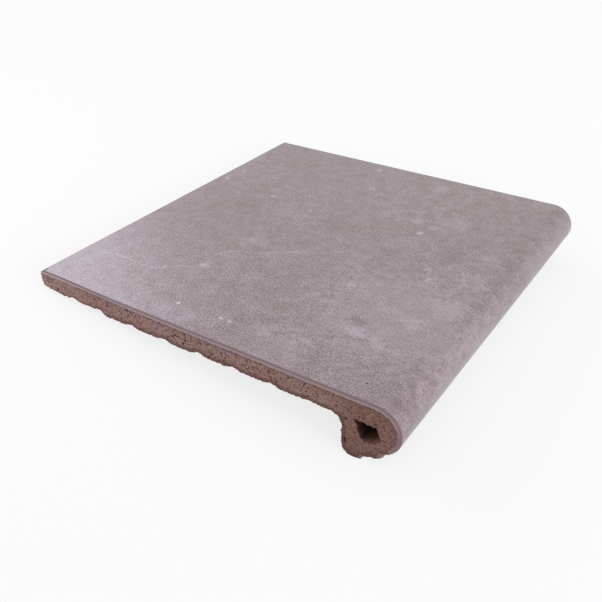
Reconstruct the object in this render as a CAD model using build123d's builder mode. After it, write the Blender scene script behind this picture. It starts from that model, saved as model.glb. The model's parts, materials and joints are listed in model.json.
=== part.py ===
"""Stair tread tile with a rounded, hollow nose: one piece of extruded and fired stoneware.

The clay leaves the die as an endless strip and is cut to the width of the tile, so the whole tile
is one section, drawn once and extruded along the nose. The section has a flat glazed top, a round
nose that turns under, a lip and a heel below the nose, the hollow core that lets the thick nose
dry evenly, and shallow keying grooves across the underside for the mortar.

The section is drawn in its own axes: x runs from the back edge towards the nose, and y runs up
from the glazed top, which is y = 0. It is then placed as the tile lies on a level floor, on its
heel and on the lower corner of its back edge, with the top sloping down to the back.
"""

import os
from math import asin, atan2, cos, hypot, radians, sin

from build123d import *

# Driving sizes, in millimetres.
tile_width = 330.0  # along the nose, from one cut end to the other
tile_depth = 311.2  # from the back edge to the front of the nose
plate_thickness = 17.6  # from the glazed top to the lands between the grooves
back_thickness = 15.2  # the same, in the thinner fields beside the back edge
back_corner_radius = 4.0  # the lower corner of the back edge
arris_radius = 1.2  # the glazed edges of the top, at the back and at both ends

# Keying grooves in the underside. They run along the nose, as the die draws them.
groove_pitch = 31.0
groove_width = 15.0
groove_depth = 1.9
thin_fields = 2  # how many fields between grooves, counted from the back, are thinner

# The nose, and what turns under it.
nose_radius = 18.3
nose_turn = 145.0  # degrees that the nose arc turns, from the level top to the slope below it
under_slope = 3.2  # length of the straight slope between the nose arc and the lip
nose_height = 47.2  # from the glazed top to the bottom of the heel
heel_setback = 41.2  # from the front of the nose to the back of the heel
heel_foot = 13.8  # length of the heel's foot, between its unrounded corners
heel_back_radius = 7.5
heel_front_radius = 4.0
heel_root_radius = 9.0  # the hollow corner between the plate and the back of the heel
heel_front_rise = 4.7  # how far the front of the heel climbs at 45 degrees to meet the lip
lip_length = 10.4
lip_rise = 2.8  # how much higher the front of the lip is than its back
lip_radius = 4.5
drip_radius = 1.5  # the small hollow between the lip and the heel, where water drips off

# The core inside the nose, from the walls of clay around it.
core_roof_wall = 17.0  # below the glazed top
core_back_wall = 8.5  # in front of the back of the heel
core_front_wall = 14.2  # behind the front of the nose
core_floor_wall = 17.7  # above the bottom of the heel
core_roof = 15.0  # length of the roof
core_floor = 7.0  # length of the floor
core_floor_inset = 5.5  # from the back end of the roof to the back end of the floor
core_corner_height = 4.2  # from the floor up to the front corner
core_radius = 0.8

# Places in the section that follow from these sizes.
nose_start = tile_depth - nose_radius
slope_angle = radians(nose_turn)
arc_end_x = nose_start + nose_radius * sin(slope_angle)
arc_end_y = -nose_radius + nose_radius * cos(slope_angle)
slope_end_x = arc_end_x + under_slope * cos(slope_angle)
slope_end_y = arc_end_y - under_slope * sin(slope_angle)
heel_back = tile_depth - heel_setback
heel_front = heel_back + heel_foot
drip_x = heel_front + heel_front_rise
drip_y = heel_front_rise - nose_height
groove_half = groove_width / 2
groove_count = int((heel_back - heel_root_radius - groove_half) // groove_pitch)
core_back = heel_back + core_back_wall
core_floor_y = core_floor_wall - nose_height

# The tile lies on two rounded corners, the back edge's and the heel's. Turned up by rest_tilt,
# the two are equally low.
corner_x, corner_y = back_corner_radius, back_corner_radius - back_thickness
foot_x, foot_y = heel_back + heel_back_radius, heel_back_radius - nose_height
corner_span = hypot(foot_x - corner_x, foot_y - corner_y)
corner_slope = atan2(foot_y - corner_y, foot_x - corner_x)
rest_tilt = asin((heel_back_radius - back_corner_radius) / corner_span) - corner_slope


def turned(x, y):
    """A point of the section, turned by the resting tilt: level distance and height."""
    return x * cos(rest_tilt) - y * sin(rest_tilt), x * sin(rest_tilt) + y * cos(rest_tilt)


def land_height(field):
    """Height of the underside in one field between grooves, counted from the back edge."""
    return -back_thickness if field < thin_fields else -plate_thickness


# The origin is on the floor, below the middle of the tile.
rearmost = turned(arris_radius, -arris_radius)[0] - arris_radius
foremost = turned(nose_start, -nose_radius)[0] + nose_radius
lowest = turned(foot_x, foot_y)[1] - heel_back_radius
section = Plane(
    origin=(-(rearmost + foremost) / 2, 0, -lowest),
    x_dir=(cos(rest_tilt), 0, sin(rest_tilt)),
    z_dir=(0, -1, 0),
)

with BuildPart() as tile:
    with BuildSketch(section):
        with BuildLine():
            Line((0, 0), (nose_start, 0))
            nose = CenterArc((nose_start, -nose_radius), nose_radius, 90, -nose_turn)
            Line(nose @ 1, (slope_end_x, slope_end_y))
            # Under the nose: the lip, the drip hollow, the heel, and on to the last groove.
            FilletPolyline(
                (slope_end_x, slope_end_y),
                (drip_x + lip_length, drip_y + lip_rise),
                (drip_x, drip_y),
                (heel_front, -nose_height),
                (heel_back, -nose_height),
                (heel_back, -plate_thickness),
                (groove_count * groove_pitch + groove_half, -plate_thickness),
                radius=(lip_radius, drip_radius, heel_front_radius, heel_back_radius, heel_root_radius),
            )
            # Each groove and the land behind it, from the nose to the back edge.
            for number in range(groove_count, 0, -1):
                middle = number * groove_pitch
                front_land, back_land = land_height(number), land_height(number - 1)
                groove_top = (middle, max(front_land, back_land) + groove_depth)
                groove_back = (middle - groove_half, back_land)
                ThreePointArc((middle + groove_half, front_land), groove_top, groove_back)
                if number > 1:
                    Line(groove_back, (middle - groove_pitch + groove_half, back_land))
            FilletPolyline(groove_back, (0, back_land), (0, 0), radius=back_corner_radius)
        make_face()
    extrude(amount=tile_width / 2, both=True)

    # Soften the glazed edges. The rounding runs on round the nose, which is tangent to the top.
    glazed_top = tile.faces().sort_by(SortBy.AREA)[-1]
    fillet(glazed_top.edges().sort_by(Axis.X)[:-1], arris_radius)

    # The core, through the whole length of the nose.
    with BuildSketch(section):
        with BuildLine():
            Polyline(
                (core_back, -core_roof_wall),
                (core_back + core_roof, -core_roof_wall),
                (tile_depth - core_front_wall, core_floor_y + core_corner_height),
                (core_back + core_floor_inset + core_floor, core_floor_y),
                (core_back + core_floor_inset, core_floor_y),
                close=True,
            )
        core = make_face()
        fillet(core.vertices(), core_radius)
    extrude(amount=tile_width / 2, both=True, mode=Mode.SUBTRACT)

tile.part.label = "tread_tile"
os.makedirs("parts", exist_ok=True)
export_step(tile.part, "parts/tread_tile.step")
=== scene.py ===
"""Studio scene of a stair tread tile: extruded stoneware with a matt, cement-grey glaze.

The tile is one fired piece. Its section is drawn in millimetres in the tile's own axes, swept along
the nose and closed by two wire-cut ends, with the grain, pits, crumbs and glaze of the real thing.
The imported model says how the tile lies, so the swept piece goes where the solid is.
"""

import json
import logging
from dataclasses import dataclass
from enum import Enum
from functools import partial
from math import asin, atan2, ceil, cos, pi, radians, sin, tan

import bpy
import numpy as np
from mathutils import Matrix, Vector, noise
from mathutils.geometry import delaunay_2d_cdt
from mathutils.kdtree import KDTree


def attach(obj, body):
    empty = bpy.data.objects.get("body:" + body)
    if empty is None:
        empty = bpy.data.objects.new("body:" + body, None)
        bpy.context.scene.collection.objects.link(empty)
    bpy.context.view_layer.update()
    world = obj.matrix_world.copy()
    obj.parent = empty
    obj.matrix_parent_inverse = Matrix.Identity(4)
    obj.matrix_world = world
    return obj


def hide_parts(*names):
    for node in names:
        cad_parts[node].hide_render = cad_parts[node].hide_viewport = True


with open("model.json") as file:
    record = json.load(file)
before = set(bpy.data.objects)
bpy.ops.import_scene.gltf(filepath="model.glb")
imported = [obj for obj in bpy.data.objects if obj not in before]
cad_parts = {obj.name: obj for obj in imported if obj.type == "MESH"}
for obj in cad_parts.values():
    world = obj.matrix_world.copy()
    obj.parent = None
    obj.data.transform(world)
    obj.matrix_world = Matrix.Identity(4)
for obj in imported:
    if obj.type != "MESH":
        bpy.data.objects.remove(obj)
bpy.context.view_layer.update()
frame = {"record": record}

log = logging.getLogger("stair_tread_tile")

Tree = bpy.types.NodeTree
Socket = bpy.types.NodeSocket
Array = np.ndarray
Pair = tuple[float, float]
# What lies between the first two numbers is taken to the last two.
Span = tuple[float, float, float, float]

NODE = "tread_tile"
MM = 0.001
FINE_STEP = 0.1
WHITE = "#ffffff"
MARK_NAMES = ("rim", "glaze", "raw", "pit", "hollow")
FAR_FROM_RAW = 9.0
UNGLAZED = -20.0


def linear(hex_colour: str) -> tuple[float, float, float, float]:
    """Turn an sRGB colour into the linear one that shaders take.

    Args:
        hex_colour: The colour as "#rrggbb".

    Returns:
        Linear red, green and blue, and an alpha of 1.
    """
    channels = [int(hex_colour[i : i + 2], 16) / 255 for i in (1, 3, 5)]
    return (*(c / 12.92 if c <= 0.04045 else ((c + 0.055) / 1.055) ** 2.4 for c in channels), 1.0)


def new_object(name: str, data: bpy.types.ID) -> bpy.types.Object:
    """Make an object and put it in the scene.

    Args:
        name: The object's name.
        data: The mesh, lamp or camera that it shows.

    Returns:
        The object.
    """
    made = bpy.data.objects.new(name, data)
    bpy.context.scene.collection.objects.link(made)
    return made


def cleared_tree(owner: bpy.types.Material | bpy.types.World) -> Tree:
    """Give a material or a world an empty node tree.

    Args:
        owner: The material or the world.

    Returns:
        The tree.
    """
    owner.use_nodes = True
    owner.node_tree.nodes.clear()
    return owner.node_tree


def add_node(
    tree: Tree, kind: str, inputs: dict | tuple | None = None, output: int | str | None = 0, **settings
) -> Socket | None:
    """Add a node to a tree, with its settings, values and links.

    Args:
        tree: The node tree.
        kind: The node's type, such as "TexNoise".
        inputs: Values, or output sockets to link from, by input name or number or in order.
        output: The name or number of the output wanted back.
        **settings: The node's own properties.

    Returns:
        That output socket, or None where the node has none to give.
    """
    node = tree.nodes.new(f"ShaderNode{kind}")
    for name, value in settings.items():
        setattr(node, name, value)
    pairs = inputs.items() if isinstance(inputs, dict) else enumerate(inputs or ())
    for name, value in pairs:
        if isinstance(value, Socket):
            tree.links.new(value, node.inputs[name])
        else:
            node.inputs[name].default_value = value
    return None if output is None else node.outputs[output]


def ease(low: float, high: float, value: Array) -> Array:
    """Go smoothly from 0 at low to 1 at high."""
    t = np.clip((value - low) / (high - low), 0.0, 1.0)
    return t * t * (3 - 2 * t)


def roughness_at(points: Array, grain: float, octaves: int = 3) -> Array:
    """Fractal noise at points, about -1 to 1.

    Args:
        points: Places in millimetres, one row each.
        grain: Size of the largest lumps, in millimetres.
        octaves: How many finer layers, each half the size.

    Returns:
        One value for each point.
    """
    scaled = points / grain
    return np.array([noise.fractal(Vector(p), 1.0, 2.0, octaves) for p in scaled])


class Face(Enum):
    """Which cut end of the tile, as the sign of its direction along the nose."""

    NEAR = -1
    FAR = 1


@dataclass(frozen=True)
class Corner:
    """A corner of an outline in the section, in millimetres, with the radius that rounds it."""

    x: float
    y: float
    radius: float = 0.0


def rounded_outline(corners: list[Corner], step: float) -> Array:
    """Sample a closed outline with rounded corners.

    Args:
        corners: The corners in order.
        step: Longest distance between neighbouring points, in millimetres.

    Returns:
        The points, one row of x and y each, starting after the first corner's rounding.
    """
    places = np.array([(c.x, c.y) for c in corners])
    pieces = []
    for i, corner in enumerate(corners):
        here = places[i]
        back, on = places[i - 1] - here, places[(i + 1) % len(corners)] - here
        back, on = back / np.linalg.norm(back), on / np.linalg.norm(on)
        if corner.radius == 0:
            pieces.append(here[None])
            continue
        half = np.arccos(np.clip(back @ on, -1, 1)) / 2
        middle = (back + on) / np.linalg.norm(back + on)
        centre = here + middle * corner.radius / sin(half)
        start, end = here + back * corner.radius / tan(half), here + on * corner.radius / tan(half)
        first = atan2(*(start - centre)[::-1])
        turn = (atan2(*(end - centre)[::-1]) - first + pi) % (2 * pi) - pi
        count = max(3, ceil(abs(turn) * corner.radius / step))
        angles = first + turn * np.linspace(0, 1, count + 1)
        pieces.append(centre + corner.radius * np.stack([np.cos(angles), np.sin(angles)], 1))
    points = []
    for i, piece in enumerate(pieces):
        after = pieces[(i + 1) % len(pieces)][0]
        gap = after - piece[-1]
        count = ceil(np.linalg.norm(gap) / step)
        run = piece[-1] + gap * (np.arange(1, count) / max(count, 1))[:, None]
        points += [piece, run]
    return np.concatenate(points)


def thinned(points: Array, spacing: Array) -> Array:
    """Pick points of a closed outline so that they lie a given distance apart.

    Args:
        points: The closely spaced outline, one row of x and y each.
        spacing: The wanted distance at each point.

    Returns:
        The picked points.
    """
    gaps = np.linalg.norm(np.roll(points, -1, 0) - points, axis=1)
    along = np.concatenate([[0], np.cumsum(gaps / spacing)])
    marks = np.arange(round(along[-1])) * along[-1] / round(along[-1])
    closed = np.concatenate([points, points[:1]])
    return np.stack([np.interp(marks, along, closed[:, axis]) for axis in (0, 1)], 1)


def is_inside(points: Array, ring: Array) -> Array:
    """Say which points lie inside a closed ring.

    Args:
        points: Rows of x and y.
        ring: The ring's points in order.

    Returns:
        True for each point inside.
    """
    inside = np.zeros(len(points), bool)
    for (x0, y0), (x1, y1) in zip(ring, np.roll(ring, -1, 0)):
        if y0 != y1:
            crossed = (points[:, 1] < y0) != (points[:, 1] < y1)
            inside ^= crossed & (points[:, 0] < x0 + (points[:, 1] - y0) * (x1 - x0) / (y1 - y0))
    return inside


def with_third(points: Array, third: float) -> Array:
    """Give rows of x and y the same third number."""
    return np.column_stack([points, np.full(len(points), third)])


def nearest_on(points: Array, ring: Array) -> tuple[Array, Array]:
    """Find the nearest point of a ring.

    Args:
        points: Rows of x and y.
        ring: The ring's points, closely spaced.

    Returns:
        The distance for each point, and the number of the ring's point.
    """
    tree = KDTree(len(ring))
    for number, (x, y) in enumerate(ring):
        tree.insert((x, y, 0), number)
    tree.balance()
    found = [tree.find((x, y, 0)) for x, y in points]
    return np.array([hit[2] for hit in found]), np.array([hit[1] for hit in found], int)


@dataclass(frozen=True)
class KeyGroove:
    """A shallow groove that keys the mortar, in millimetres.

    Its place is measured from the back edge, its floor and the land behind it from the glazed top.
    """

    x: float
    floor: float
    land: float


@dataclass(frozen=True)
class TreadSection:
    """The extruded section, in millimetres: x from the back edge to the nose, y up from the glazed top."""

    depth: float = 311.2
    plate: float = 17.6
    back_plate: float = 15.2
    back_corner: float = 4.0
    arris: float = 1.2
    grooves: tuple[KeyGroove, ...] = (
        KeyGroove(34.0, 13.1, 14.6),
        KeyGroove(62.0, 14.2, 14.9),
        KeyGroove(93.0, 16.0, 17.7),
        KeyGroove(125.0, 16.1, 17.8),
        KeyGroove(156.0, 15.7, 18.1),
        KeyGroove(186.0, 15.7, 17.5),
        KeyGroove(217.0, 15.9, 17.4),
        KeyGroove(246.0, 16.8, 18.0),
    )
    groove_width: float = 15.0
    nose_radius: float = 18.3
    nose_turn: float = 145.0
    under_slope: float = 3.2
    nose_height: float = 47.2
    heel_setback: float = 41.2
    heel_foot: float = 13.8
    heel_back_radius: float = 7.5
    heel_front_radius: float = 4.0
    heel_root_radius: float = 9.0
    heel_front_rise: float = 4.7
    lip_length: float = 10.4
    lip_rise: float = 2.8
    lip_radius: float = 4.5
    lip_root_radius: float = 0.6
    drip_radius: float = 1.5
    core_roof_wall: float = 17.0
    core_back_wall: float = 8.5
    core_front_wall: float = 14.2
    core_floor_wall: float = 17.7
    core_roof: float = 15.0
    core_floor: float = 7.0
    core_floor_inset: float = 5.5
    core_corner_height: float = 4.2
    core_radius: float = 0.8
    core_tip_radius: float = 0.2
    core_tongue: Pair = (2.6, -2.7)

    @property
    def nose_start(self) -> float:
        """Where the level top ends and the nose arc starts."""
        return self.depth - self.nose_radius

    @property
    def heel_back(self) -> float:
        """The back face of the heel."""
        return self.depth - self.heel_setback

    def underside(self, x: Array) -> Array:
        """Height of the grooved underside.

        Args:
            x: Distances from the back edge.

        Returns:
            The heights, below the glazed top.
        """
        places = np.array([groove.x for groove in self.grooves])
        lands = np.array([*(groove.land for groove in self.grooves), self.plate])
        steps = ease(-self.groove_width / 2, self.groove_width / 2, x[:, None] - places)
        height = -(lands[0] + steps @ np.diff(lands))
        for groove in self.grooves:
            off = np.clip(np.abs(x - groove.x) / (self.groove_width / 2), 0, 1)
            rise = -groove.floor - np.interp(groove.x, x[::-1], height[::-1])
            height = height + rise * np.cos(off * pi / 2) ** 2
        return height

    def outline(self) -> Array:
        """Draw the outline, from the back of the glazed top round the nose and back underneath.

        Returns:
            The points, one row of x and y each, closely and evenly spaced.
        """
        reach = self.nose_radius * tan(radians(self.nose_turn) / 2)
        slope = radians(self.nose_turn)
        run = reach + self.under_slope
        heel_front = self.heel_back + self.heel_foot
        drip_x, drip_y = heel_front + self.heel_front_rise, self.heel_front_rise - self.nose_height
        spots = np.arange(self.heel_back - self.heel_root_radius - 0.5, self.back_corner + 0.5, -0.5)
        under = [Corner(x, y) for x, y in zip(spots, self.underside(spots))]
        corners = [
            Corner(0, 0, self.arris),
            Corner(self.nose_start + reach, 0, self.nose_radius),
            Corner(self.nose_start + reach + run * cos(slope), -run * sin(slope), self.lip_root_radius),
            Corner(drip_x + self.lip_length, drip_y + self.lip_rise, self.lip_radius),
            Corner(drip_x, drip_y, self.drip_radius),
            Corner(heel_front, -self.nose_height, self.heel_front_radius),
            Corner(self.heel_back, -self.nose_height, self.heel_back_radius),
            Corner(self.heel_back, -self.plate, self.heel_root_radius),
            *under,
            Corner(0, -self.grooves[0].land, self.back_corner),
        ]
        return rounded_outline(corners, FINE_STEP)

    def core(self) -> Array:
        """Draw the outline of the hollow core.

        Returns:
            The points, one row of x and y each, closely and evenly spaced.
        """
        back = self.heel_back + self.core_back_wall
        floor = self.core_floor_wall - self.nose_height
        places = (
            (back, -self.core_roof_wall),
            (back + self.core_roof, -self.core_roof_wall),
            (self.depth - self.core_front_wall, floor + self.core_corner_height),
            (back + self.core_floor_inset + self.core_floor, floor),
            (back + self.core_floor_inset, floor),
            (back + self.core_tongue[0], self.core_tongue[1] - self.core_roof_wall),
        )
        radii = (self.core_tip_radius, *(self.core_radius,) * 5)
        return rounded_outline([Corner(x, y, r) for (x, y), r in zip(places, radii)], FINE_STEP)


@dataclass(frozen=True)
class RestPose:
    """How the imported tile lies: where its own axes are in the shared frame, from its mounts."""

    origin: Vector
    x_dir: Vector
    y_dir: Vector

    @classmethod
    def from_record(cls, record: dict, section: TreadSection) -> "RestPose":
        """Read the pose from the bonding face and the back edge.

        Args:
            record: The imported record.
            section: The section, for the height of the bonding face.

        Returns:
            The pose.
        """
        mounts = {m["name"]: m for m in record["mounts"]}
        bond, edge = mounts["bonding_face"], mounts["back_edge"]
        y_dir = -Vector(bond["axis"])
        x_dir = -Vector(edge["axis"])
        along_x = Vector(edge["pos_m"]).dot(x_dir)
        along_y = Vector(bond["pos_m"]).dot(y_dir) + section.plate * MM
        return cls(x_dir * along_x + y_dir * along_y, x_dir, y_dir)

    @property
    def tilt(self) -> float:
        """How far the glazed top slopes, in radians."""
        return asin(self.x_dir.normalized().z)

    def place(self, points: Array) -> Array:
        """Take points from the tile's axes to the shared frame.

        Args:
            points: Rows of x, distance along the nose and y, in millimetres.

        Returns:
            Rows of the same points in metres.
        """
        axes = np.array([self.x_dir, (0.0, 1.0, 0.0), self.y_dir])
        return np.array(self.origin) + points * MM @ axes


@dataclass(frozen=True)
class Pit:
    """A pit that a burnt-out grain left in a cut end, in millimetres."""

    x: float
    y: float
    radius: float
    depth: float


@dataclass(frozen=True)
class Chip:
    """A place where the raw edge of a cut end has crumbled away, or stands proud, in millimetres."""

    x: float
    y: float
    reach: float
    depth: float
    run: float


@dataclass
class Strip:
    """One closed ring of the sweep, sampled round the section."""

    points: Array
    arc: Array
    length: float
    outward: Array

    @classmethod
    def around(cls, points: Array) -> "Strip":
        """Measure a ring that keeps the clay on its right.

        Args:
            points: The ring's points in order.

        Returns:
            The ring with its distances and outward directions.
        """
        along = np.roll(points, -1, 0) - np.roll(points, 1, 0)
        outward = np.stack([-along[:, 1], along[:, 0]], 1) / np.linalg.norm(along, axis=1)[:, None]
        gaps = np.linalg.norm(np.roll(points, -1, 0) - points, axis=1)
        return cls(points, np.concatenate([[0], np.cumsum(gaps)[:-1]]), gaps.sum(), outward)


@dataclass
class Surface:
    """Points of the mesh, with the marks that the finish follows.

    rim is the distance past the glazed arris, glaze the distance inside the glaze's lower limit and
    raw the distance from a raw edge, in millimetres. pit is 0 on the sound body and 1 in a pit, and on
    the core's wall it is painted shade. hollow is 1 on the wall of the core.
    """

    places: Array
    rim: Array
    glaze: Array
    raw: Array
    pit: Array
    hollow: Array


@dataclass
class Sweep:
    """A ring swept along the nose: its points, its faces, and each end's ring and first number."""

    surfaces: list[Surface]
    quads: list[Array]
    ends: dict[Face, tuple[Array, int]]


@dataclass
class TreadTile:
    """The tile: its swept body and its two wire-cut ends, in one closed mesh."""

    section: TreadSection
    pose: RestPose
    width: float = 330.0
    top_spacing: float = 2.2
    nose_spacing: float = 1.0
    arris_spacing: float = 0.35
    core_spacing: float = 0.5
    raw_spacing: float = 0.48
    end_spacing: float = 0.66
    long_step: float = 8.0
    end_steps: tuple[float, ...] = (0.0, 0.12, 0.3, 0.55, 0.85, 1.2, 1.7, 2.4, 3.4, 5.0, 8.0, 13.0)
    lip_limit: Pair = (298.4, -39.6)
    heel_glaze: tuple[Pair, Pair] = ((288.2, -42.9), (284.9, -46.2))
    band_reach: float = 9.0
    splashes: tuple[tuple[float, float, float], ...] = ((285.3, -44.9, 2.3), (298.2, -37.6, 2.7))
    drag_depth: float = 0.16
    crumb_depth: float = 0.48
    crumb_run: float = 1.4
    sharp_angle: float = 42.0
    end_relief: float = 0.16
    relief_reach: float = 6.0
    relief_run: float = 1.5
    relief_grain: float = 3.0
    # Crumbs along the raw edges, of two sizes.
    crumb_grain: float = 2.2
    crumb_span: Pair = (-0.1, 0.7)
    fine_crumb: float = 1.0
    fine_share: float = 1.1
    # Drag marks of the die are 2.2 mm wide and 25 times as long.
    drag_grain: float = 2.2
    drag_stretch: float = 0.04
    # Places in the noise, far apart so that the two ends differ.
    edge_seed: float = 50.0
    end_seed: float = 40.0
    end_jitter: float = 0.13
    # Where the glaze ends: how the arris fades at the back edge and on the lip, and at the corner.
    back_glaze: float = 15.0
    back_fade: Pair = (2.0, 6.0)
    lip_fade: Pair = (1.0, 15.0)
    corner_reach: float = 4.0
    corner_loss: float = 0.15
    splash_rim: float = 1.1
    sound_rim: Pair = (0.2, 2.4)
    # Painted light and shade in the core: where its floor is painted lit, in front of its back and below the
    # top, how pale it is and how far in.
    lit_back: Pair = (4.0, 12.0)
    lit_height: Pair = (-19.0, -24.0)
    core_painted_light: Pair = (0.12, 0.68)
    core_reach: Pair = (2.0, 22.0)
    # Random pits are tried over the section's box, and most fall outside the clay.
    pits_tried: int = 1320
    pit_radius: Pair = (0.32, 0.33)
    pit_depth: Pair = (0.3, 0.4)
    full_pit: float = 0.7
    seed: int = 11
    pits: tuple[Pit, ...] = tuple(
        Pit(*row)
        for row in (
            (17.0, -10.5, 1.0, 0.9), (58.0, -6.0, 0.9, 0.8), (63.0, -3.6, 0.8, 0.6),
            (91.0, -4.2, 1.1, 0.8), (94.5, -4.6, 0.9, 0.7), (145.0, -5.0, 0.9, 0.8),
            (145.0, -10.0, 0.9, 0.8), (143.0, -13.0, 1.0, 0.9), (266.0, -12.0, 0.9, 0.7),
            (272.8, -19.0, 1.0, 1.0), (272.4, -35.0, 0.7, 1.2), (272.5, -36.3, 0.7, 1.2),
            (272.8, -37.6, 0.7, 1.0),
        )
    )
    chips: tuple[Chip, ...] = tuple(
        Chip(*row)
        for row in (
            (3.0, -14.6, 7.0, 2.3, 9.0), (14.0, -14.5, 6.0, 1.0, 6.0), (286.2, -44.9, 2.1, 1.2, 1.3),
            (299.4, -37.8, 2.5, 1.2, 1.3), (269.2, -29.8, 1.0, -2.0, 1.0), (239.0, -18.0, 1.2, 0.9, 2.0),
            (26.5, -14.5, 1.0, 1.0, 2.0),
        )
    )
    core_chips: tuple[Chip, ...] = tuple(
        Chip(*row)
        for row in (
            (286.6, -29.5, 0.6, 0.9, 0.8), (289.6, -29.5, 0.6, 1.2, 0.8), (293.0, -28.3, 0.7, 1.4, 0.9),
            (295.6, -26.6, 0.6, 1.0, 0.8), (288.0, -17.2, 1.2, -0.7, 0.8), (291.8, -17.2, 0.8, -1.1, 0.7),
            (285.0, -17.0, 0.7, 0.6, 0.8),
        )
    )

    @property
    def bend(self) -> float:
        """How far it is round the glazed arris."""
        return self.section.arris * pi / 2

    def outline_strip(self) -> Strip:
        """Sample the outside, closely where the section turns and where the clay is raw.

        Returns:
            The ring.
        """
        fine = self.section.outline()
        x, y = fine.T
        spacing = np.full(len(fine), self.raw_spacing)
        spacing[(y > -self.section.nose_radius * 2) & (x > self.section.nose_start)] = self.nose_spacing
        spacing[(y > -0.5) & (x > 3) & (x < self.section.nose_start)] = self.top_spacing
        spacing[(y > -2) & (x < 3)] = self.arris_spacing
        return Strip.around(thinned(fine, spacing))

    def core_strip(self) -> Strip:
        """Sample the hollow core."""
        fine = self.section.core()[::-1]
        return Strip.around(thinned(fine, np.full(len(fine), self.core_spacing)))

    def stations(self) -> Array:
        """Places along the nose, close together at both cut ends.

        Returns:
            The places, from the near end to the far one.
        """
        inner = self.width / 2 - self.end_steps[-1]
        middle = np.linspace(-inner, inner, round(2 * inner / self.long_step) + 1)[1:-1]
        near = np.array(self.end_steps) - self.width / 2
        return np.concatenate([near, middle, -near[::-1]])

    def worn_ring(self, strip: Strip, station: float, chips: tuple[Chip, ...], arris: Array) -> Array:
        """Shape one ring of the sweep: its arris, its drag marks and its crumbled raw edge.

        Args:
            strip: The ring.
            station: Its place along the nose.
            chips: The chips at the near end.
            arris: How much of the arris radius each point has, from 0 to 1.

        Returns:
            The ring's points.
        """
        gap = self.width / 2 - abs(station)
        side = Face.NEAR if station < 0 else Face.FAR
        radius = self.section.arris * arris
        within = np.clip(radius - gap, 0, None)
        inset = radius - np.sqrt(np.clip(radius**2 - within**2, 0, None))
        raw = 1 - arris
        drag = roughness_at(with_third(strip.points, station * self.drag_stretch), self.drag_grain)
        inset = inset + raw * self.drag_depth * (0.5 + drag)
        spots = with_third(strip.points, self.edge_seed * side.value)
        coarse = ease(*self.crumb_span, roughness_at(spots, self.crumb_grain))
        crumbs = coarse + self.fine_share * roughness_at(spots + 9, self.fine_crumb, 2)
        inset = inset + raw * self.crumb_depth * crumbs * np.exp(-gap / self.crumb_run)
        if side is Face.NEAR:
            for chip in chips:
                off = np.hypot(*(strip.points - (chip.x, chip.y)).T) / chip.reach
                inset = inset + chip.depth * np.exp(-off**2) * np.exp(-((gap / chip.run) ** 2))
        return strip.points - strip.outward * inset[:, None]

    def end_depth(self, points: Array, side: Face, smooth: Array) -> tuple[Array, Array]:
        """How deep the torn clay of a cut end lies behind its plane.

        Args:
            points: Rows of x and y.
            side: Which end.
            smooth: From 0 at the glazed rim, which is sound, to 1.

        Returns:
            The depth in millimetres, and how much of it is pit, from 0 to 1.
        """
        spots = with_third(points, self.end_seed * side.value)
        depth = self.end_relief * (0.8 + roughness_at(spots, self.relief_grain, 4)) * smooth
        rng = np.random.default_rng(self.seed + side.value)
        low, high = points.min(0), points.max(0)
        pits = list(self.pits) if side is Face.NEAR else []
        (least_radius, more_radius), (least_depth, more_depth) = self.pit_radius, self.pit_depth
        for x, y, size in rng.random((self.pits_tried, 3)):
            radius, deep = least_radius + more_radius * size**3, least_depth + more_depth * size**2
            pits.append(Pit(*(low + (x, y) * (high - low)), radius, deep))
        holes = np.zeros(len(points))
        for pit in pits:
            near = np.abs(points[:, 0] - pit.x) < 2.5 * pit.radius
            off = np.hypot(*(points[near] - (pit.x, pit.y)).T) / pit.radius
            holes[near] = np.maximum(holes[near], pit.depth * np.exp(-(off**2)))
        return depth + holes * smooth, np.clip(holes * smooth / self.full_pit, 0, 1)

    def painted_core_shade(self, ring: Array, gap: float) -> Array:
        """Paint shade on the wall of the core: painted shade, darkest behind, and painted light on the floor
        below the nose.

        Args:
            ring: The core's points.
            gap: Distance from the cut end, in millimetres.

        Returns:
            From 0 where it is as pale as the cut end to 1 where it is dark.
        """
        back = self.section.heel_back + self.section.core_back_wall
        lit = ease(*self.lit_back, ring[:, 0] - back) * ease(*self.lit_height, ring[:, 1])
        (pale, paler), (reach, further) = self.core_painted_light, self.core_reach
        return 1 - (pale + paler * lit) * np.exp(-gap / (reach + further * lit))

    def fill_end(self, ring: Array, core: Array, side: Face) -> tuple[Array, Array]:
        """Fill a cut end with small triangles.

        Args:
            ring: The outside's points there.
            core: The core's points there.
            side: Which end.

        Returns:
            The points inside the rings, and the triangles, numbered over ring, core and those points.
        """
        rng = np.random.default_rng(self.seed * 3 + side.value)
        low, high = ring.min(0), ring.max(0)
        rows = np.arange(low[1], high[1], self.end_spacing * sin(pi / 3))
        across = np.arange(low[0], high[0], self.end_spacing)
        grid = np.stack([(x + self.end_spacing / 2 * (i % 2), y) for i, y in enumerate(rows) for x in across])
        grid = grid + rng.uniform(-self.end_jitter, self.end_jitter, grid.shape)
        grid = grid[is_inside(grid, ring) & ~is_inside(grid, core)]
        both = np.concatenate([ring, core])
        grid = grid[nearest_on(grid, both)[0] > 0.6 * self.end_spacing]
        points = np.concatenate([both, grid])
        edges = [(i, (i + 1) % len(ring)) for i in range(len(ring))]
        edges += [(len(ring) + i, len(ring) + (i + 1) % len(core)) for i in range(len(core))]
        found = delaunay_2d_cdt([Vector(p) for p in points], edges, [], 0, 1e-6)
        origin = np.array([ids[0] for ids in found[3]])
        triangles = origin[np.array(found[2])]
        centres = points[triangles].mean(1)
        keep = is_inside(centres, ring) & ~is_inside(centres, core)
        return grid, triangles[keep]

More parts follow.
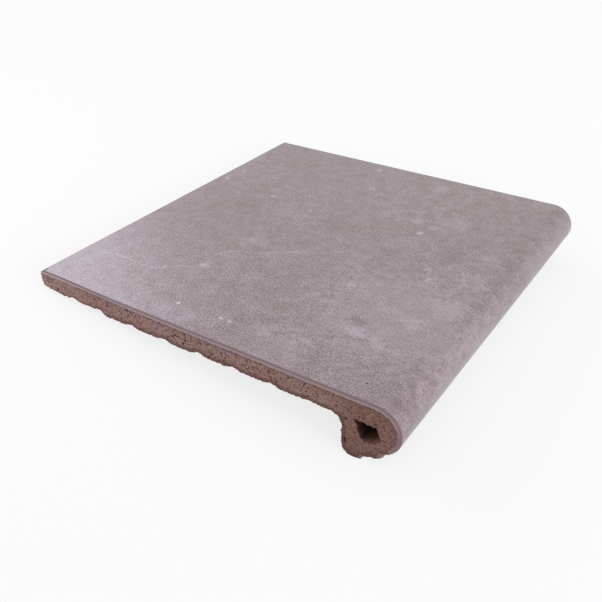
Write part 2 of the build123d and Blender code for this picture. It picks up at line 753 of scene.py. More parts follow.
    def glazing(self, outline: Strip) -> tuple[Array, Array, Array]:
        """Say where the outside is glazed.

        Args:
            outline: The outside's ring.

        Returns:
            For each point the distance inside the glaze's lower limit, how much of the arris radius it
            has, and the distance past the start of the back arris.
        """
        limits = np.array([self.lip_limit, *self.heel_glaze])
        lip, heel_from, heel_to = outline.arc[nearest_on(limits, outline.points)[1]]
        past_back = outline.length - outline.arc
        on_back = past_back < self.section.back_plate
        inside = np.maximum(lip - outline.arc, np.minimum(outline.arc - heel_from, heel_to - outline.arc))
        glaze = np.where(on_back, self.back_glaze, inside)
        # The arris runs round the nose, and is gone where the glaze ends on the lip.
        back, front = ease(*self.back_fade, past_back), ease(*self.lip_fade, lip - outline.arc)
        arris = np.where(on_back, 1 - back, front)
        near_back = ease(self.corner_reach, 0.0, np.minimum(outline.arc, past_back))
        arris = arris * (1 - self.corner_loss * near_back)
        return glaze, arris, np.where(on_back, past_back + self.bend, self.bend - outline.arc)

    def swept(self, strip: Strip, arris: Array | None, glaze: Array, back_rim: Array) -> Sweep:
        """Sweep a ring along the nose.

        Args:
            strip: The ring.
            arris: How much of the arris radius each point has, or None for the core.
            glaze: The distance inside the glaze's lower limit.
            back_rim: The distance past the start of the back arris.

        Returns:
            The sweep.
        """
        is_core = arris is None
        size = len(strip.points)
        edge = np.zeros(size) if is_core else arris
        chips = self.core_chips if is_core else self.chips
        raw_limit = np.where(glaze > 0.5, FAR_FROM_RAW, 0.0)
        smooth = np.where(edge < 0.5, 1.0, 0.0)
        sweep = Sweep([], [], {})
        here = np.arange(size)
        after = (here + 1) % size
        for number, station in enumerate(self.stations()):
            gap = self.width / 2 - abs(station)
            side = Face.NEAR if station < 0 else Face.FAR
            fade = float(np.exp(-gap / self.relief_run))
            ring = self.worn_ring(strip, station, chips, edge)
            depth = pit = np.zeros(size)
            if gap < self.relief_reach:
                depth, pit = self.end_depth(ring, side, smooth)
            rim = self.bend * (1 - np.clip(gap / self.section.arris, 0, 1) ** 0.5)
            rim = rim - max(gap - self.section.arris, 0)
            places = np.column_stack([ring[:, 0], station - side.value * depth * fade, ring[:, 1]])
            if is_core:
                hollow = min(gap / self.end_steps[1], 1.0)
                # On the core's wall the pit mark is painted shade, darkest behind, with painted light on the
                # floor below the nose.
                marks = (rim, UNGLAZED, gap, self.painted_core_shade(ring, gap), hollow)
            else:
                marks = (np.maximum(rim, back_rim), glaze, np.maximum(raw_limit, gap), pit * fade, 0.0)
            sweep.surfaces.append(Surface(places, *(np.broadcast_to(mark, size) for mark in marks)))
            first = number * size
            if gap == 0:
                sweep.ends[side] = (ring, first)
            if number:
                quad = (first - size + here, first - size + after, first + after, first + here)
                sweep.quads.append(np.column_stack(quad))
        return sweep

    def end_surface(self, grid: Array, outside: Array, hole: Array, side: Face, glaze: Array) -> Surface:
        """Place and mark the points that fill a cut end.

        Args:
            grid: The points.
            outside: The outside's ring there.
            hole: The core's ring there.
            side: Which end.
            glaze: The distance inside the glaze's lower limit, round the outside.

        Returns:
            The points with their marks.
        """
        from_edge, which = nearest_on(grid, outside)
        from_core = nearest_on(grid, hole)[0]
        glazed = glaze[which] - self.band_reach
        rim = self.bend + from_edge
        for x, y, reach in self.splashes if side is Face.NEAR else ():
            splash = reach - np.hypot(grid[:, 0] - x, grid[:, 1] - y)
            glazed = np.maximum(glazed, splash)
            rim = np.minimum(rim, self.splash_rim + 2.0 * np.clip(0.5 - splash, 0, None))
        smooth = np.where(glazed > 0, ease(*self.sound_rim, from_edge), 1.0)
        depth, pit = self.end_depth(grid, side, smooth)
        raw = np.minimum(from_core, np.where(glazed > 0.5, FAR_FROM_RAW, from_edge))
        places = np.column_stack([grid[:, 0], side.value * (self.width / 2 - depth), grid[:, 1]])
        return Surface(places, rim, glazed, raw, pit, np.zeros(len(grid)))

    def mesh(self) -> bpy.types.Mesh:
        """Build the closed mesh, with the marks as attributes.

        Returns:
            The mesh.
        """
        outline, core = self.outline_strip(), self.core_strip()
        glaze, arris, back_rim = self.glazing(outline)
        outside = self.swept(outline, arris, glaze, back_rim)
        inside = self.swept(core, None, glaze, back_rim)
        core_start = len(outline.points) * len(outside.surfaces)
        surfaces = outside.surfaces + inside.surfaces
        quads = outside.quads + [quad + core_start for quad in inside.quads]
        count = core_start + len(core.points) * len(inside.surfaces)
        triangles = []
        for side, (ring, ring_start) in outside.ends.items():
            hole, hole_start = inside.ends[side]
            grid, tris = self.fill_end(ring, hole, side)
            runs = ((ring_start, ring), (core_start + hole_start, hole), (count, grid))
            tris = np.concatenate([start + np.arange(len(points)) for start, points in runs])[tris]
            triangles.append(tris if side is Face.NEAR else tris[:, ::-1])
            surfaces.append(self.end_surface(grid, ring, hole, side, glaze))
            count += len(grid)
        return self.joined(surfaces, np.concatenate(quads), np.concatenate(triangles))

    def joined(self, surfaces: list[Surface], quads: Array, triangles: Array) -> bpy.types.Mesh:
        """Join points and faces into one mesh.

        Args:
            surfaces: The points and their marks, in the order of their numbers.
            quads: The faces of the sweep.
            triangles: The faces of the cut ends.

        Returns:
            The mesh, in metres in the shared frame.
        """
        places = np.concatenate([surface.places for surface in surfaces])
        mesh = bpy.data.meshes.new("stair_tread_tile")
        mesh.from_pydata(self.pose.place(places).tolist(), [], [*quads.tolist(), *triangles.tolist()])
        for name in MARK_NAMES:
            values = np.concatenate([getattr(surface, name) for surface in surfaces])
            mesh.attributes.new(name, "FLOAT", "POINT").data.foreach_set("value", values.astype(np.float32))
        mesh.shade_smooth()
        mesh.set_sharp_from_angle(angle=radians(self.sharp_angle))
        mesh.update()
        return mesh

    def build(self, material: bpy.types.Material) -> bpy.types.Object:
        """Make the tile's object in place of the plain solid.

        Args:
            material: The tile's finish.

        Returns:
            The object.
        """
        tile = new_object("stair_tread_tile", self.mesh())
        tile.data.materials.append(material)
        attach(tile, "root")
        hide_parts(NODE)
        return tile


@dataclass(frozen=True)
class MarkAndPaintedLight:
    """A pale mark in the glaze, or a dark one where its strength is below 0. The broadest ones are painted
    light and painted shade.

    In millimetres from the back edge and from the near cut end.
    """

    x: float
    y: float
    radius: float
    strength: float


@dataclass(frozen=True)
class CementGlaze:
    """Matt, cement-look glaze, sprayed on and fired.

    To the eye it is dull and cloudy, with fine speckle, pale marks and a soft sheen at a low angle, and
    its broadest marks are painted light and painted shade. Along the arris a dark line is painted shade
    of the step there, and past that the overspray that ran onto the cut end leaves a pale band. Lengths
    are in millimetres.
    """

    pale: str = "#998a8d"
    deep: str = "#7f6f6f"
    cool: str = "#8f8489"
    warm: str = "#897974"
    skimmed: str = "#a2959c"
    # The dark line along the arris, and its darker part by the back corner, are painted shade.
    arris_shade: str = "#7c6767"
    corner_arris_shade: str = "#675657"
    overspill: str = "#8f7d7e"
    faded: str = "#7d6866"
    # The pale colour of marks and of painted light.
    mark: str = "#bab0b6"
    pinhole: str = "#2b2020"
    # The colour of dark marks, and of painted shade in the broad dark marks and low on the nose.
    shade: str = "#756563"
    roughness: float = 0.3
    arris_line_roughness: float = 0.95
    # The relief of the sprayed coat, in metres as the bump wants it.
    tooth: float = 0.00005
    # Clouds of warmer and cooler grey, about 85 mm across, and how much of the colour they are.
    cloud: float = 85.0
    cloud_span: Span = (0.35, 0.65, 0.0, 1.0)
    cloud_share: float = 0.35
    # Mottling of the coat, from 11 mm down to under 1 mm.
    mottle: float = 11.0
    mottle_span: Span = (0.35, 0.65, -0.1, 1.1)
    # Thin pale skims of 15 mm, which come and go over patches four times as large.
    skim: float = 15.0
    skim_span: Span = (0.49, 0.55, 0.0, 0.36)
    patch: float = 60.0
    patch_span: Span = (0.38, 0.62, 0.1, 1.0)
    # Real speckle is about 0.3 mm, too fine to show, so it is drawn 1.2 mm coarse.
    speckle: float = 1.2
    speckle_span: Span = (0.3, 0.7, -0.66, 0.66)
    fleck_tint: tuple[float, float, float] = (0.86, 1.06, 1.02)
    # The speckle is fainter where the coat ran round the nose, by distance from the back edge.
    run_span: Span = (282.0, 302.0, 1.0, 0.55)
    # Painted shade low on the nose, and the overspray fades there, by height from the top.
    low_shade_span: Span = (-8.0, -22.0, 0.0, 0.35)
    faded_span: Span = (-6.0, -18.0, 0.0, 1.0)
    # The dark line of painted shade along the arris, by distance past the start of the arris: its start, its
    # end and its middle.
    arris_shade_span: Span = (-0.5, 0.4, 0.0, 1.0)
    past_span: Span = (1.4, 1.9, 0.0, 1.0)
    line_middle: float = 0.8
    line_span: Pair = (0.6, 1.0)
    arris_end: float = 1.9
    # The painted shade of the line is drawn this far onto the top by the back corner, and less towards the
    # nose.
    drawn: float = 1.2
    drawn_span: Pair = (22.0, 75.0)
    drawn_fade: Span = (5.0, 9.0, 1.0, 0.0)
    # The band of overspray, wider towards the nose, and its ragged margin.
    band_span: Span = (30.0, 130.0, 0.9, 1.9)
    ragged: float = 20 / 9
    ragged_span: Span = (0.3, 0.7, -0.6, 0.6)
    margin_span: Span = (-0.4, 0.35, 0.0, 1.0)
    limit_span: Span = (-0.5, 0.5, 0.0, 1.0)
    # The vein is a hair crack of about 0.3 mm, drawn 0.8 mm wide so that it shows. Its path is the
    # offset across the diagonal from the back corner, at even steps along it.
    vein_width: float = 0.8
    vein_strength: float = 0.34
    vein_from: float = 65.0
    vein_step: float = 12.0
    vein_path: tuple[float, ...] = (
        31, 24, 14, 2, -12, -20, -20, -21, -25, -24, -10, -2, 0, -3, -9, -12, -13, -16, -17, -20,
    )
    vein_wobble: Pair = (7.0, 1.4)
    vein_gap: float = 9.0
    vein_gap_span: Span = (0.3, 0.44, 0.15, 1.0)
    pinholes: tuple[Pair, ...] = ((205.5, 120.5), (278.2, 16.2))
    pinhole_radius: float = 0.75
    # Marks under 3 mm are crisp spots, and larger ones are clouds with a torn outline.
    small_mark: float = 3.0
    small_wobble: Pair = (3.0, 0.5)
    small_soft: float = 0.2
    large_soft: float = 0.12
    torn: float = 50 / 7
    torn_span: Span = (0.35, 0.65, -0.42, 0.42)
    # The broadest marks are painted light and painted shade: those at (262, 95) and (214, 14) are paler over
    # the nose half and by the near end, and those at (40, 175) and (85, 300) are darker towards the back and
    # the far end.
    marks: tuple[MarkAndPaintedLight, ...] = tuple(
        MarkAndPaintedLight(*row)
        for row in (
            (120, 23, 2.1, 1.0), (158, 24, 2.0, 1.0), (165.5, 24, 1.7, 1.0), (151, 31, 1.2, 0.4),
            (71, 210, 3.2, 0.6), (116, 202, 2.0, 0.7), (39, 199, 2.6, 0.45), (9.5, 220, 4.5, 0.55),
            (11.5, 244, 4, 0.45), (139, 273, 4.6, 0.4), (217, 214, 3.6, 0.55), (211, 110, 4.4, 0.4),
            (250, 162, 4, 0.3), (257, 148, 4, 0.3), (265, 195, 4, 0.3), (102, 75, 5, 0.35),
            (149, 130, 4, 0.25), (112, 131, 11, 0.2), (235, 246, 15, 0.16), (272, 90, 9, 0.2),
            (284, 120, 14, 0.14), (284, 165, 14, 0.14), (284, 198, 12, 0.14), (177, 231, 6, 0.22),
            (206, 232, 6, 0.26), (224, 230, 6, 0.26), (190, 227, 4, 0.2), (195, 306, 9, 0.22),
            (124, 315, 4, 0.5), (246, 59, 8, 0.3), (263, 57, 8, 0.2), (192, 30, 9, 0.14),
            (115, 11, 9, 0.16), (136, 13, 9, 0.14), (228, 262, 5, 0.25), (106, 126, 7, 0.14),
            (258, 193, 13, -0.35), (262, 95, 78, 0.22), (40, 175, 85, -0.16), (85, 300, 85, -0.22),
            (214, 14, 26, 0.12), (240, 72, 7, -0.35), (150, 188, 14, -0.3), (123, 118, 9, -0.25),
            (62, 182, 26, -0.14), (22, 308, 34, -0.2), (296, 8, 14, -0.12), (299, 297, 8, -0.3),
            (302, 316, 8, -0.3), (303, 255, 7, -0.3), (300, 233, 7, -0.3), (302, 206, 7, -0.25),
            (302, 135, 7, -0.25), (304, 115, 6, -0.2), (294, 165, 1.2, -0.8),
        )
    )


@dataclass(frozen=True)
class FiredStoneware:
    """Extruded stoneware, cut by wire and fired.

    To the eye it is dry, brown and open, with dark pits and pale grains. Lengths are in millimetres.
    """

    brown: str = "#84655b"
    grey: str = "#89716a"
    red: str = "#7c5243"
    dark: str = "#3f1b14"
    pale: str = "#ac9285"
    # Pits, and the painted shade in the core.
    pit: str = "#2c150e"
    edge: str = "#54332a"
    heart: str = "#684236"
    hollow: str = "#7c5539"
    roughness: float = 0.95
    # The relief of the torn grain, in metres as the bump wants it.
    tooth: float = 0.00035
    # The clay drifts from brown to grey over 24 mm.
    drift: float = 24.0
    drift_span: Span = (0.35, 0.65, 0.0, 1.0)
    # Grog of 0.9 mm, which is real size: some grains are red and a few are pale.
    grain: float = 0.9
    red_span: Span = (0.55, 0.9, 0.0, 0.75)
    pale_span: Span = (0.8, 1.0, 0.0, 0.7)
    tone: float = 10 / 9
    tone_span: Span = (0.3, 0.7, 0.6, 1.42)
    # Pores a few tenths of a millimetre wide are too fine to show, so they are drawn about 1 mm wide.
    pore: float = 1.7
    pore_span: Span = (0.4, 0.85, 0.0, 0.4)
    open_span: Span = (0.0, 0.07, 0.0, 1.0)
    # The thick clay of the nose fires redder, by distance from the back edge.
    heart_span: Span = (258.0, 276.0, 0.0, 0.45)
    # Darker clay along the overspray's margin, and along raw edges.
    seam_span: Span = (-1.7, -0.4, 0.0, 0.55)
    edge_span: Span = (0.15, 1.1, 0.9, 0.0)


@dataclass(frozen=True)
class Ground:
    """What a finish is drawn on: the node tree, the place on the tile in millimetres and the mesh's marks."""

    tree: Tree
    place: Socket
    from_back: Socket
    from_end: Socket
    height: Socket
    marks: dict[str, Socket]

    @classmethod
    def of_tile(cls, material: bpy.types.Material, pose: RestPose, width: float) -> "Ground":
        """Give the place from the back edge, the near end and the top, and the marks.

        Args:
            material: The material to draw.
            pose: How the tile lies.
            width: The tile's width along the nose.

        Returns:
            The ground.
        """
        tree = cleared_tree(material)
        start = -(Matrix.Rotation(pose.tilt, 3, "Y") @ pose.origin) / MM + Vector((0, width / 2, 0))
        spot = add_node(tree, "TexCoord", None, "Object")
        turned = {"Vector": spot, "Scale": (1 / MM,) * 3, "Rotation": (0, pose.tilt, 0), "Location": start}
        place = add_node(tree, "Mapping", turned)
        sides = add_node(tree, "SeparateXYZ", (place,)).node.outputs
        marks = {name: add_node(tree, "Attribute", None, "Fac", attribute_name=name) for name in MARK_NAMES}
        return cls(tree, place, *sides, marks)


@dataclass
class TileFinish:
    """The finish of the whole tile: glaze where it was sprayed, clay where the tile was cut or drawn."""

    ground: Ground
    glaze: CementGlaze
    clay: FiredStoneware
    ior: float = 1.5
    specular_level: float = 0.35
    bump_strength: float = 0.8

    def __post_init__(self) -> None:
        """Take what every method uses from the ground."""
        self.add = partial(add_node, self.ground.tree)
        self.place, self.marks = self.ground.place, self.ground.marks

    def draw(self) -> None:
        """Draw the material."""
        glaze, clay, marks, add = self.glaze, self.clay, self.marks, self.add
        marks["rim"], marks["drawn"] = self.drawn_rim()
        cover, margin = self.glaze_cover()
        glazed, speckle = self.glaze_colour()
        raw, grain = self.clay_colour(margin)
        colour = add("Mix", {0: cover, 6: raw, 7: glazed}, 2, data_type="RGBA")
        # The dark line of painted shade along the arris is dull, and the glaze on either side of it is not.
        off = add("Math", (marks["rim"], glaze.line_middle), operation="SUBTRACT")
        off = add("Math", (off,), operation="ABSOLUTE")
        satin = add("MapRange", (off, *glaze.line_span, glaze.arris_line_roughness, glaze.roughness))
        dry = add("MapRange", (marks["pit"], 0.0, 1.0, clay.roughness, 1.0))
        rough = add("Mix", {0: cover, 2: dry, 3: satin})
        height = add("Mix", {0: cover, 2: grain, 3: speckle})
        depth = add("Mix", {0: cover, 2: clay.tooth, 3: glaze.tooth})
        bump = add("Bump", {"Strength": self.bump_strength, "Distance": depth, "Height": height})
        surface = {
            "Base Color": colour,
            "Roughness": rough,
            "IOR": self.ior,
            "Specular IOR Level": self.specular_level,
            "Normal": bump,
        }
        add("OutputMaterial", {"Surface": add("BsdfPrincipled", surface)}, None)

    def warped(self, size: float, amount: float) -> Socket:
        """Shift places about, so that what is drawn on them looks hand-made.

        Args:
            size: Size of the largest wobble, in millimetres.
            amount: How far it shifts, in millimetres.

        Returns:
            The shifted place.
        """
        wobble = self.add("TexNoise", {"Vector": self.place, "Scale": 1 / size, "Detail": 3.0}, "Color")
        centred = self.add("VectorMath", (wobble, (0.5,) * 3), operation="SUBTRACT")
        return self.add("VectorMath", (centred, (amount * 4,) * 3, self.place), operation="MULTIPLY_ADD")

    def drawn_rim(self) -> tuple[Socket, Socket]:
        """Draw the dark line of painted shade along the arris further onto the top beside the back corner.

        Returns:
            The distance past the line, and how far the line is drawn onto the top.
        """
        glaze, add = self.glaze, self.add
        from_back = add("MapRange", (self.ground.from_back, *glaze.drawn_span, glaze.drawn, 0.0))
        from_end = add("MapRange", (self.ground.from_end, *glaze.drawn_fade))
        shift = add("Math", (from_back, from_end), operation="MULTIPLY")
        return add("Math", (self.marks["rim"], shift)), shift

    def glaze_cover(self) -> tuple[Socket, Socket]:
        """Say where the glaze lies.

        Returns:
            From 0 on bare clay to 1 under glaze, and the distance inside the overspray's margin.
        """
        glaze, add = self.glaze, self.add
        band = add("MapRange", (self.ground.from_back, *glaze.band_span))
        uneven = {"Vector": self.place, "Scale": 1 / glaze.ragged, "Detail": 3.0, "Roughness": 0.65}
        spread = add("MapRange", (add("TexNoise", uneven), *glaze.ragged_span))
        past = add("Math", (self.marks["rim"], glaze.arris_end), operation="SUBTRACT")
        inside = add("Math", (band, past), operation="SUBTRACT")
        margin = add("Math", (inside, spread))
        above = add("MapRange", (margin, *glaze.margin_span))
        over = add("MapRange", (add("Math", (self.marks["glaze"], spread)), *glaze.limit_span))
        return add("Math", (over, above), operation="MULTIPLY"), margin

    def spots(self) -> Socket:
        """Add up the marks in the glaze, with the painted light and painted shade of the broadest ones.

        Returns:
            Above 0 where the glaze is paler, below 0 where it is darker.
        """
        glaze, add = self.glaze, self.add
        cloudy = {"Vector": self.place, "Scale": 1 / glaze.torn, "Detail": 8.0, "Roughness": 0.75}
        ragged = add("MapRange", (add("TexNoise", cloudy), *glaze.torn_span))
        crisp = self.warped(*glaze.small_wobble)
        total = None
        for mark in glaze.marks:
            is_small = mark.radius < glaze.small_mark
            place = crisp if is_small else self.place
            away = add("VectorMath", (place, (mark.x, mark.y, 0.0)), "Value", operation="DISTANCE")
            near = add("MapRange", (away, 0.0, 1.5 * mark.radius, 1.0, 0.0))
            torn = near if is_small else add("Math", (near, ragged))
            soft = glaze.small_soft if is_small else glaze.large_soft
            shape = (torn, 0.5 - soft, 0.5 + soft, 0.0, mark.strength)
            spot = add("MapRange", shape, interpolation_type="SMOOTHSTEP")
            total = spot if total is None else add("Math", (total, spot))
        return total

    def vein(self) -> Socket:
        """Draw the pale vein that wanders across the glaze from the back corner.

        Returns:
            From 0 beside the vein to 1 on it.
        """
        glaze, add = self.glaze, self.add
        sides = add("SeparateXYZ", (self.warped(*glaze.vein_wobble),)).node.outputs
        along = add("Math", (sides[0], sides[1]))
        across = add("Math", (sides[1], sides[0]), operation="SUBTRACT")
        count = len(glaze.vein_path) - 1
        last = glaze.vein_from + glaze.vein_step * count
        share = add("MapRange", (along, glaze.vein_from, last, 0.0, 1.0))
        low, high = min(glaze.vein_path), max(glaze.vein_path)
        curve = add("FloatCurve", {"Value": share}).node
        points = curve.mapping.curves[0].points
        for number, value in enumerate(glaze.vein_path):
            spot = (number / count, (value - low) / (high - low))
            if number in (0, count):
                points[0 if number == 0 else -1].location = spot
            else:
                points.new(*spot)
        curve.mapping.update()
        path = add("MapRange", {0: curve.outputs[0], 3: float(low), 4: float(high)})
        off = add("Math", (across, path), operation="SUBTRACT")
        away = add("Math", (off,), operation="ABSOLUTE")
        line = add("MapRange", (away, glaze.vein_width * 0.6, glaze.vein_width * 2.6, 1.0, 0.0))
        broken = add("TexNoise", {"Vector": self.place, "Scale": 1 / glaze.vein_gap, "Detail": 2.0})
        shown = add("MapRange", (broken, *glaze.vein_gap_span))
        # Nothing is drawn before the first point of the path or after the last.
        inside = add("Math", (share, 0.5, 0.495), operation="COMPARE")
        for part in (shown, inside):
            line = add("Math", (line, part), operation="MULTIPLY")
        return line

    def glaze_colour(self) -> tuple[Socket, Socket]:
        """Colour the glaze.

        Returns:
            The colour, and a height for its fine tooth.
        """
        glaze, add, place = self.glaze, self.add, self.place
        noises = {
            "mottle": {"Scale": 1 / glaze.mottle, "Detail": 4.0, "Roughness": 0.85},
            "cloud": {"Scale": 1 / glaze.cloud, "Detail": 3.0, "Roughness": 0.6, "Distortion": 0.4},
            "skim": {"Scale": 1 / glaze.skim, "Detail": 9.0, "Roughness": 0.74, "Distortion": 0.9},
            "patch": {"Scale": 1 / glaze.patch, "Detail": 3.0},
            "speckle": {"Scale": 1 / glaze.speckle, "Detail": 2.0, "Roughness": 0.75},
        }
        drawn = {name: add("TexNoise", {"Vector": place, **values}) for name, values in noises.items()}
        part = {name: add("MapRange", (drawn[name], *getattr(glaze, f"{name}_span"))) for name in drawn}
        # Grey that drifts warm and cool, with pale skims on it.
        skimmed = add("Math", (part["skim"], part["patch"]), operation="MULTIPLY")
        warmth = add(
            "Mix", {0: part["cloud"], 6: linear(glaze.warm), 7: linear(glaze.cool)}, 2, data_type="RGBA"
        )
        colour = linear(glaze.deep)
        for share, layer in (
            (part["mottle"], linear(glaze.pale)),
            (glaze.cloud_share, warmth),
            (skimmed, linear(glaze.skimmed)),
        ):
            colour = add("Mix", {0: share, 6: colour, 7: layer}, 2, data_type="RGBA")
        # Fine speckle.
        strong = add("MapRange", (self.ground.from_back, *glaze.run_span))
        fleck = add("Math", (part["speckle"], strong), operation="MULTIPLY")
        spread = add("VectorMath", {0: glaze.fleck_tint, 3: fleck}, operation="SCALE")
        fleck = add("VectorMath", (spread, (1.0,) * 3))
        colour = add("VectorMath", (colour, fleck), operation="MULTIPLY")
        # Marks and the vein, some broad ones painted light and shade, then pinholes, painted shade low on the
        # nose, the painted shade of the arris line and overspray.
        pale = (self.vein(), glaze.vein_strength, self.spots())
        pale = add("Math", pale, operation="MULTIPLY_ADD")
        layers = [
            (add("Clamp", (pale,)), linear(glaze.mark)),
            (add("Math", (pale, -1.0), operation="MULTIPLY", use_clamp=True), linear(glaze.shade)),
        ]
        reach = glaze.pinhole_radius
        for x, y in glaze.pinholes:
            away = add("VectorMath", (place, (x, y, 0.0)), "Value", operation="DISTANCE")
            hole = add("MapRange", (away, 0.8 * reach, 1.2 * reach, 1.0, 0.0))
            layers.append((hole, linear(glaze.pinhole)))
        rim = self.marks["rim"]
        # Deeper painted shade on the arris line by the back corner.
        corner_arris_shade = add("MapRange", (self.marks["drawn"], 0.0, glaze.drawn, 0.0, 1.0))
        faded = add("MapRange", (self.ground.height, *glaze.faded_span))
        arris_shade, over = (
            add("Mix", {0: share, 6: linear(first), 7: linear(second)}, 2, data_type="RGBA")
            for share, first, second in (
                (corner_arris_shade, glaze.arris_shade, glaze.corner_arris_shade),
                (faded, glaze.overspill, glaze.faded),
            )
        )
        layers += [
            # Painted shade low on the nose.
            (add("MapRange", (self.ground.height, *glaze.low_shade_span)), linear(glaze.shade)),
            (add("MapRange", (rim, *glaze.arris_shade_span)), arris_shade),
            (add("MapRange", (rim, *glaze.past_span)), over),
        ]
        for share, layer in layers:
            colour = add("Mix", {0: share, 6: colour, 7: layer}, 2, data_type="RGBA")
        return colour, drawn["speckle"]

    def clay_colour(self, margin: Socket) -> tuple[Socket, Socket]:
        """Colour the bare clay.

        Args:
            margin: The distance inside the overspray's margin, below 0 on the clay.

        Returns:
            The colour, and a height for its grain.
        """
        clay, add, place = self.clay, self.add, self.place
        drift = add("TexNoise", {"Vector": place, "Scale": 1 / clay.drift, "Detail": 4.0})
        cells = add("TexVoronoi", {"Vector": place, "Scale": 1 / clay.grain}, "Color")
        kinds = add("SeparateColor", (cells,)).node.outputs
        body = linear(clay.brown)
        for value, span, layer in (
            (drift, clay.drift_span, clay.grey),
            (kinds[0], clay.red_span, clay.red),
            (kinds[1], clay.pale_span, clay.pale),
        ):
            share = add("MapRange", (value, *span))
            body = add("Mix", {0: share, 6: body, 7: linear(layer)}, 2, data_type="RGBA")
        rough = {"Vector": place, "Scale": 1 / clay.tone, "Detail": 4.0, "Roughness": 0.8}
        tone = add("TexNoise", rough)
        shade = add("MapRange", (tone, *clay.tone_span))
        body = add("VectorMath", {0: body, 3: shade}, operation="SCALE")
        pores = add("TexVoronoi", {"Vector": place, "Scale": 1 / clay.pore}, "Distance")
        chance = add("SeparateColor", (pores.node.outputs["Color"],), "Blue")
        hole = add("Math", (add("MapRange", (chance, *clay.pore_span)), pores), operation="SUBTRACT")
        is_open = add("MapRange", (hole, *clay.open_span))
        for share, layer in (
            (is_open, clay.dark),
            (add("MapRange", (self.ground.from_back, *clay.heart_span)), clay.heart),
            (add("MapRange", (margin, *clay.seam_span)), clay.edge),
            (add("MapRange", (self.marks["raw"], *clay.edge_span)), clay.edge),
            (self.marks["hollow"], clay.hollow),
            # Pits, and the painted shade on the core's wall.
            (self.marks["pit"], clay.pit),
        ):
            body = add("Mix", {0: share, 6: body, 7: linear(layer)}, 2, data_type="RGBA")
        return body, add("Math", (tone, is_open), operation="SUBTRACT")


@dataclass(frozen=True)
class Softbox:
    """A soft studio lamp that looks at the tile from a direction, in metres and degrees.

    The bearing is measured from +X towards +Y.
    """

    name: str
    bearing: float
    height: float
    distance: float
    width: float
    length: float
    watts: float
    colour: str = WHITE

    def build(self) -> bpy.types.Object:
        """Make the lamp.

        Returns:
            The lamp's object.
        """
        lamp = bpy.data.lights.new(self.name, "AREA")
        lamp.shape = "RECTANGLE"
        lamp.size, lamp.size_y = self.width, self.length
        lamp.energy = self.watts
        lamp.color = linear(self.colour)[:3]
        holder = new_object(self.name, lamp)
        bearing, height = radians(self.bearing), radians(self.height)
        away = Vector((cos(bearing) * cos(height), sin(bearing) * cos(height), sin(height)))
        holder.location = away * self.distance
        holder.rotation_euler = away.to_track_quat("Z", "Y").to_euler()
        holder.visible_camera = False
        return holder


@dataclass(frozen=True)
class Studio:
    """A plain pale floor under plain soft light."""

    floor_size: float = 8.0
    floor_colour: str = "#f2f2f2"
    floor_glow: float = 0.78
    world: float = 0.67
    softboxes: tuple[Softbox, ...] = (
        Softbox("overhead_softbox", 90.0, 84.0, 1.6, 1.6, 1.6, 2.5),
        Softbox("left_softbox", 171.0, 28.0, 2.2, 1.9, 0.75, 20.5, "#eeefff"),
        Softbox("front_softbox", -6.0, 13.0, 1.5, 1.2, 1.0, 13.4, "#f8f6ff"),
        Softbox("near_end_softbox", -138.0, 8.0, 0.6, 0.4, 0.25, 1.3, "#ece8ff"),
    )

    def build(self) -> bpy.types.Object:
        """Make the floor, the world and the lamps.

        Returns:
            The floor.
        """
        mesh = bpy.data.meshes.new("studio_floor")
        half = self.floor_size / 2
        corners = [(-half, -half, 0), (half, -half, 0), (half, half, 0), (-half, half, 0)]
        mesh.from_pydata(corners, [], [(0, 1, 2, 3)])
        mesh.materials.append(self.floor_material())
        floor = new_object("studio_floor", mesh)
        self.build_world()
        for softbox in self.softboxes:
            softbox.build()
        return floor

    def seen_share(self, tree: Tree) -> Socket:
        """Tell rays that show the background, straight or in a reflection, from those that light the tile.

        Args:
            tree: The node tree.

        Returns:
            1 for a ray that shows the background and 0 for one that only lights the tile.
        """
        path = add_node(tree, "LightPath", None, "Is Camera Ray").node
        share = path.outputs["Is Camera Ray"]
        for kind in ("Is Glossy Ray", "Is Transmission Ray"):
            share = add_node(tree, "Math", (share, path.outputs[kind]), operation="MAXIMUM")
        return share

    def floor_material(self) -> bpy.types.Material:
        """Make matt white card, which shows white to the camera and keeps the tile's shadow.

        Returns:
            The material.
        """
        material = bpy.data.materials.new("matt_white_card")
        tree = cleared_tree(material)
        card = add_node(tree, "BsdfDiffuse", {"Color": linear(self.floor_colour), "Roughness": 1.0})
        white = add_node(tree, "Emission", {"Color": linear(WHITE), "Strength": 1.0})
        share = add_node(tree, "Math", (self.seen_share(tree), self.floor_glow), operation="MULTIPLY")
        surface = add_node(tree, "MixShader", (share, card, white))
        add_node(tree, "OutputMaterial", {"Surface": surface}, None)
        return material

    def build_world(self) -> None:
        """Light the room evenly, and show it white to the camera and in reflections."""
        world = bpy.data.worlds.new("studio_room")
        tree = cleared_tree(world)
        light, white = (
            add_node(tree, "Background", {"Color": linear(WHITE), "Strength": strength})
            for strength in (self.world, 1.0)
        )
        surface = add_node(tree, "MixShader", (self.seen_share(tree), light, white))
        add_node(tree, "OutputWorld", {"Surface": surface}, None)
        bpy.context.scene.world = world


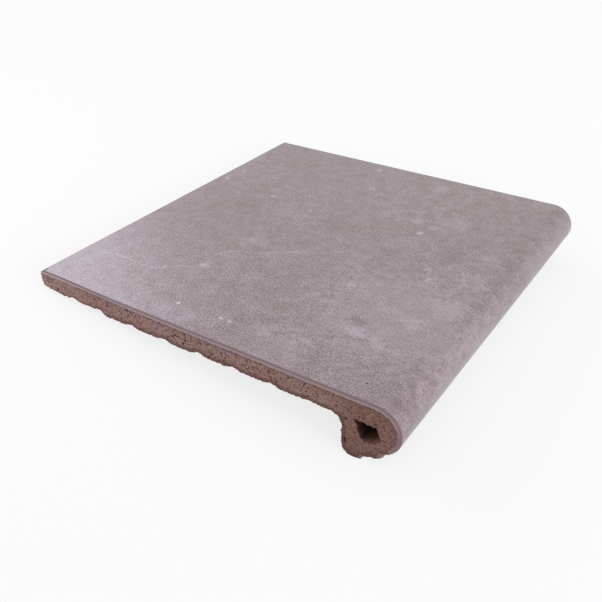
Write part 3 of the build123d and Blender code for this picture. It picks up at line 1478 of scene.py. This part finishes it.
@dataclass(frozen=True)
class PhotoView:
    """The camera of the photograph, set to the tile's own axes.

    The bearing is measured from straight in front of the near cut end towards the nose, and the
    elevation from the glazed top. The back corner of the near cut end is seen at corner_px, at
    corner_depth millimetres along the view.
    """

    frame_px: float = 602.0
    focal_px: float = 753.5
    sensor: float = 36.0
    bearing: float = 33.855
    elevation: float = 32.224
    roll: float = -0.58
    corner_px: Pair = (39.8, 271.1)
    corner_depth: float = 578.14

    def build(self, pose: RestPose, width: float) -> bpy.types.Object:
        """Make the camera.

        Args:
            pose: How the tile lies.
            width: The tile's width along the nose.

        Returns:
            The camera's object.
        """
        bearing, elevation, roll = (radians(a) for a in (self.bearing, self.elevation, self.roll))
        axes = Matrix((pose.x_dir, (0, 1, 0), pose.y_dir)).transposed()
        back = Vector(
            (sin(bearing) * cos(elevation), -cos(bearing) * cos(elevation), sin(elevation))
        )
        level = Vector((cos(bearing), sin(bearing), 0))
        right = level * cos(roll) + back.cross(level) * sin(roll)
        up = back.cross(right)
        middle = self.frame_px / 2
        aside = (self.corner_px[0] - middle) / self.focal_px * self.corner_depth
        above = (middle - self.corner_px[1]) / self.focal_px * self.corner_depth
        corner = Vector((0, -width / 2, 0))
        spot = corner - right * aside - up * above + back * self.corner_depth
        turn = axes @ Matrix((right, up, back)).transposed()
        lens = bpy.data.cameras.new("photo_camera")
        lens.sensor_width = self.sensor
        lens.lens = self.focal_px / self.frame_px * self.sensor
        lens.clip_start = 0.01
        camera = new_object("photo_camera", lens)
        camera.matrix_world = Matrix.Translation(pose.origin + axes @ spot * MM) @ turn.to_4x4()
        bpy.context.scene.camera = camera
        return camera


def main() -> None:
    """Build the camera, the studio and the tile, and report each."""
    logging.basicConfig(level=logging.INFO, format="%(name)s: %(message)s")
    section = TreadSection()
    pose = RestPose.from_record(frame["record"], section)
    tile = TreadTile(section, pose)
    camera = PhotoView().build(pose, tile.width)
    log.info("%s at %s", camera.name, [round(v, 4) for v in camera.location])
    floor = Studio().build()
    log.info("%s", floor.name)
    material = bpy.data.materials.new("fired_stoneware_with_matt_cement_glaze")
    TileFinish(Ground.of_tile(material, pose, tile.width), CementGlaze(), FiredStoneware()).draw()
    piece = tile.build(material)
    piece.data.calc_loop_triangles()
    log.info("%s: %d triangles", piece.name, len(piece.data.loop_triangles))
    view = bpy.context.scene.view_settings
    view.view_transform = "Standard"


if __name__ == "__main__":
    main()
